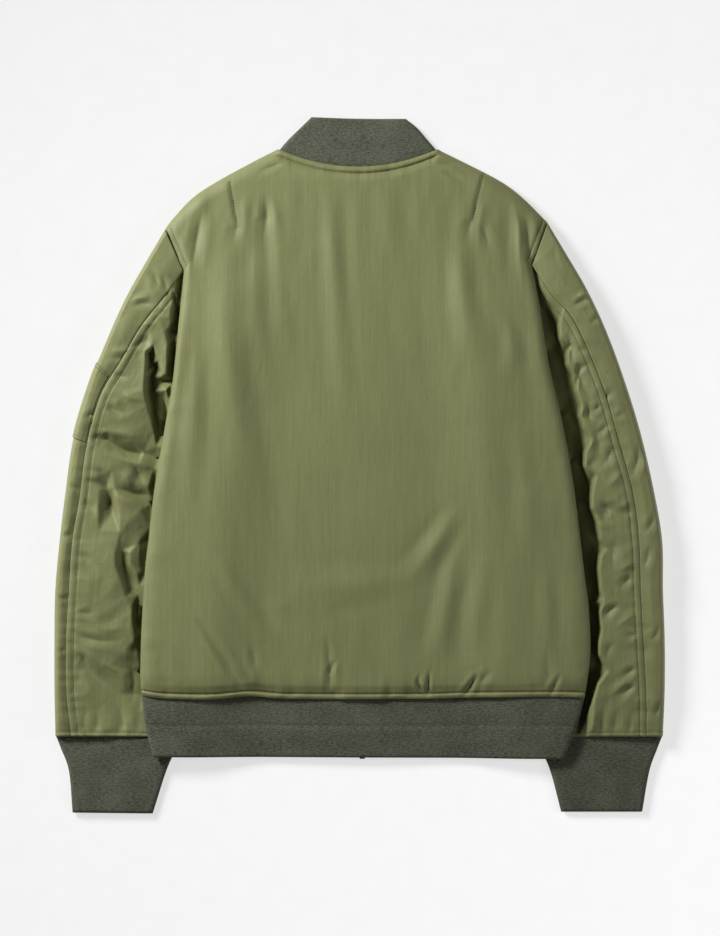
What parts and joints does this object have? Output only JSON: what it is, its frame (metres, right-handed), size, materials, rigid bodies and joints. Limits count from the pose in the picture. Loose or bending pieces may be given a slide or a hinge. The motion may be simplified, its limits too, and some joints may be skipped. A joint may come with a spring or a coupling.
{
  "type": "bomber jacket",
  "caption": "Padded olive bomber jacket laid flat on its front, back uppermost, with knitted rib collar, cuffs and waistband, closed front zip and a sleeve pocket.",
  "frame": {"origin": "middle of the jacket's footprint, on the plane it lies on", "axes": "+Y along the back from the waistband to the collar, +Z out of the back, away from the plane the jacket lies on; the wearer's left is at -X"},
  "size_m": [0.6843, 0.781, 0.0247],
  "materials": {
    "olive_nylon": "olive green nylon twill with a faint sheen and fine lengthwise slubs, over thin wadding",
    "rib_knit": "matt dark heather green rib knit",
    "zip_tape_cloth": "matt woven tape",
    "zip_metal": "dark satin metal"
  },
  "bodies": {
    "jacket": {"back_panel": "olive_nylon", "front_left_panel": "olive_nylon", "front_right_panel": "olive_nylon", "left_upper_sleeve": "olive_nylon", "left_under_sleeve": "olive_nylon", "right_upper_sleeve": "olive_nylon", "right_under_sleeve": "olive_nylon", "sleeve_pocket": "olive_nylon", "collar": "rib_knit", "waistband": "rib_knit", "left_cuff": "rib_knit", "right_cuff": "rib_knit", "zip_tape_left": "zip_tape_cloth", "zip_tape_right": "zip_tape_cloth", "zip_chain": "zip_metal", "zip_end_box": "zip_metal", "zip_slider": "zip_metal"},
    "pull_tab": {"zip_pull": "zip_metal"}
  },
  "joints": [
    {"name": "pull_tab_hinge", "type": "hinge", "parent": "jacket", "child": "pull_tab", "pos_m": [0.003, 0.26785, 0.0014], "axis": [1, 0, 0], "range_deg": [0, 170]}
  ]
}
